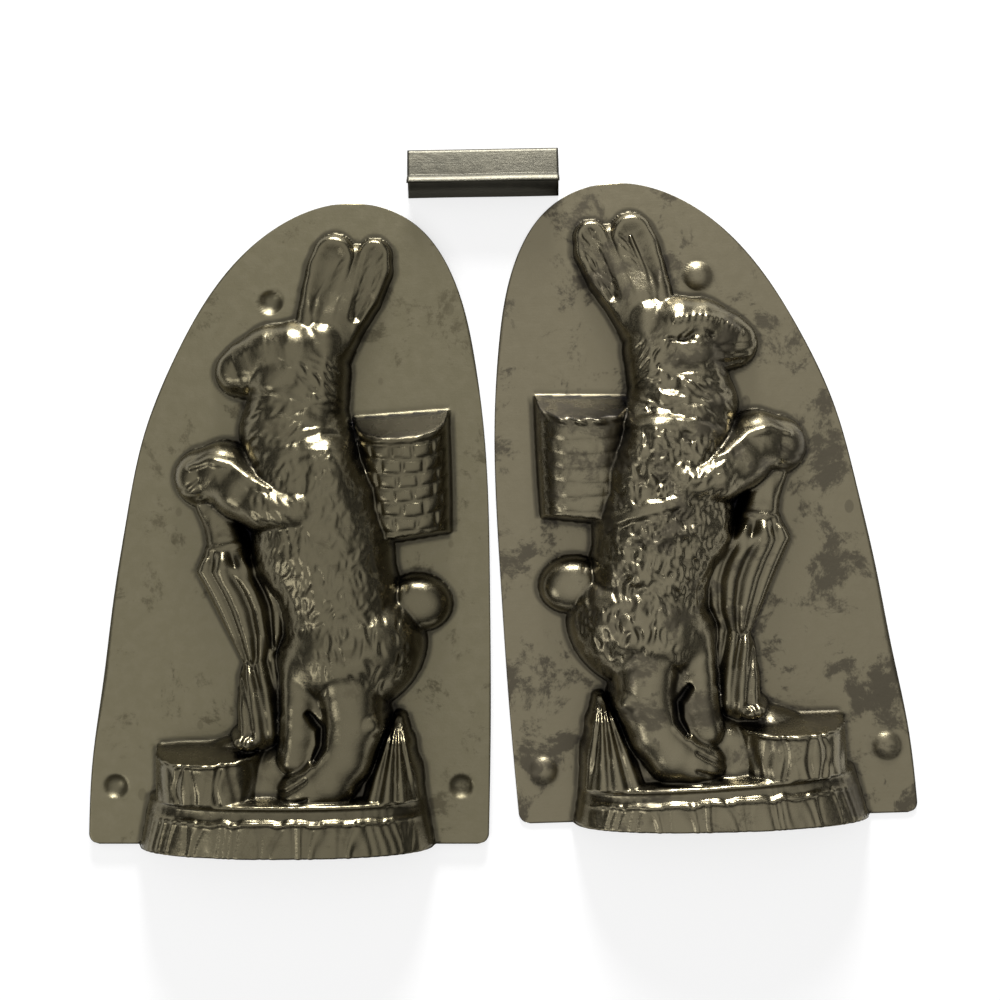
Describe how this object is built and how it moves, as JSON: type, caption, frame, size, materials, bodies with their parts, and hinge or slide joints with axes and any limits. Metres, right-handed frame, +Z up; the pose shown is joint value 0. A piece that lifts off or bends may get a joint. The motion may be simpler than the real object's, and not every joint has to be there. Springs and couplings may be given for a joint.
{
  "type": "chocolate mould",
  "caption": "Pressed tinned steel mould for a standing chocolate hare with basket and umbrella: mirrored relief halves with flat flanges and register dimples, and a folded spring clip.",
  "frame": {"origin": "middle of the overall footprint, on the surface that the pieces lie on", "axes": "+Y from the open feet of the halves towards the ears, +Z up out of the relief, +X from the left half to the right half"},
  "size_m": [0.2754, 0.2312, 0.03],
  "materials": {
    "left_tinplate": "tarnished tin",
    "right_tinplate": "tarnished tin",
    "clip_steel": "tarnished spring steel"
  },
  "bodies": {
    "root": {"left_half": "left_tinplate", "right_half": "right_tinplate", "spring_clip": "clip_steel"}
  },
  "joints": []
}
